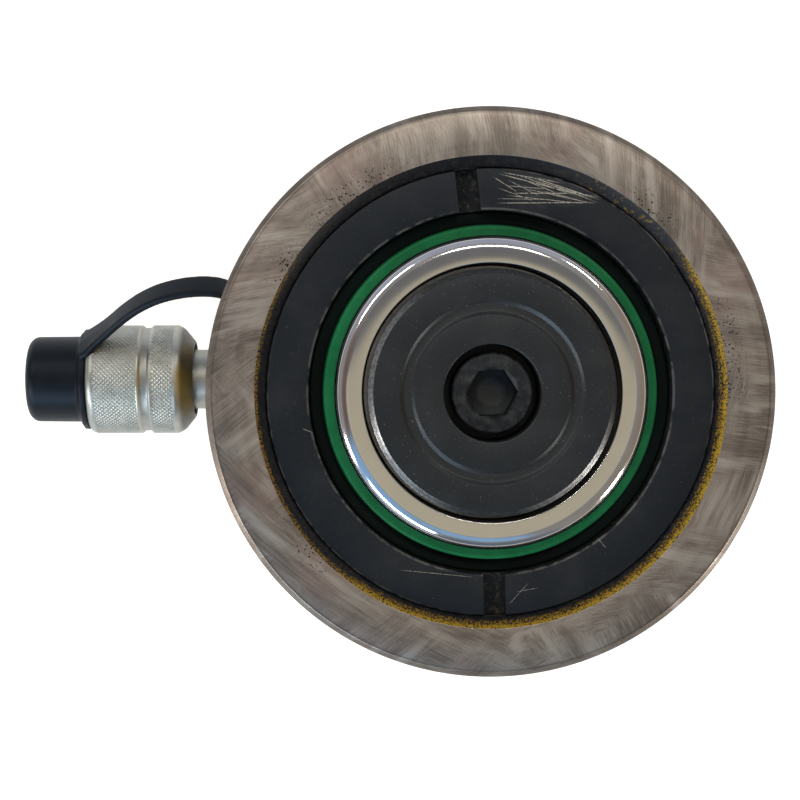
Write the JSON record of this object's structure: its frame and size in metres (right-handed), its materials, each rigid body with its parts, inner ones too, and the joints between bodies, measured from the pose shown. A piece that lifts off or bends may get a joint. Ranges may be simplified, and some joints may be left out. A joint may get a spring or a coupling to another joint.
{
  "type": "hydraulic cylinder",
  "caption": "Single-acting spring-return hydraulic cylinder with an external collar thread, a screwed saddle and a side quick coupler with a tethered dust cap.",
  "frame": {"origin": "centre of the base's underside", "axes": "+Z along the plunger's axis towards the saddle, -X along the coupler's axis"},
  "size_m": [0.2003, 0.127, 0.227],
  "materials": {
    "barrel_paint": "yellow enamel, ground steel at the rim and thread",
    "black_steel": "black oxide, turned",
    "black_screw": "black oxide, cold headed",
    "hard_chrome": "ground and polished hard chrome",
    "bare_steel": "turned bare steel",
    "spring_steel": "oil-tempered wire",
    "zinc_plate": "clear zinc plate",
    "green_wiper": "glossy moulded polyurethane",
    "guide_plastic": "filled nylon",
    "seal_plastic": "moulded polyurethane",
    "backup_plastic": "machined acetal",
    "black_rubber": "matt moulded rubber"
  },
  "bodies": {
    "barrel": {"cylinder_body": "barrel_paint", "stop_ring": "black_steel", "gland_bearing": "guide_plastic", "wiper_ring": "green_wiper", "return_spring": "spring_steel", "lower_spring_anchor": "bare_steel", "anchor_screw": "black_screw", "coupler_body": "zinc_plate", "sleeve_snap_ring": "spring_steel", "valve_seat": "bare_steel", "poppet_spring": "spring_steel", "poppet_guide": "bare_steel"},
    "plunger": {"plunger": "hard_chrome", "piston_head": "bare_steel", "piston_bearing": "guide_plastic", "piston_seal": "seal_plastic", "seal_backup_ring": "backup_plastic", "seal_retainer": "bare_steel", "piston_snap_ring": "spring_steel", "upper_spring_anchor": "bare_steel", "saddle": "black_steel", "saddle_screw": "black_screw"},
    "sleeve": {"coupler_sleeve": "zinc_plate"},
    "poppet": {"coupler_poppet": "bare_steel", "poppet_seal": "seal_plastic"},
    "strap": {"cap_strap": "black_rubber"},
    "cap": {"dust_cap": "black_rubber"}
  },
  "joints": [
    {"name": "plunger_slide", "type": "slide", "parent": "barrel", "child": "plunger", "axis": [0, 0, 1], "range_m": [0, 0.1016], "stiffness_N_per_m": 4000, "springref_m": -0.05, "deforming": ["return_spring"]},
    {"name": "sleeve_spin", "type": "hinge", "parent": "barrel", "child": "sleeve", "pos_m": [-0.1, 0, 0.033], "axis": [1, 0, 0], "continuous": true},
    {"name": "poppet_slide", "type": "slide", "parent": "barrel", "child": "poppet", "axis": [1, 0, 0], "range_m": [0, 0.0035], "stiffness_N_per_m": 1500, "springref_m": -0.004, "deforming": ["poppet_spring"]},
    {"name": "strap_swivel", "type": "hinge", "parent": "barrel", "child": "strap", "pos_m": [-0.0661, 0, 0.033], "axis": [1, 0, 0], "range_deg": [-85, 175]},
    {"name": "cap_pull", "type": "slide", "parent": "strap", "child": "cap", "axis": [-1, 0, 0], "range_m": [0, 0.028], "deforming": ["cap_strap"]}
  ]
}
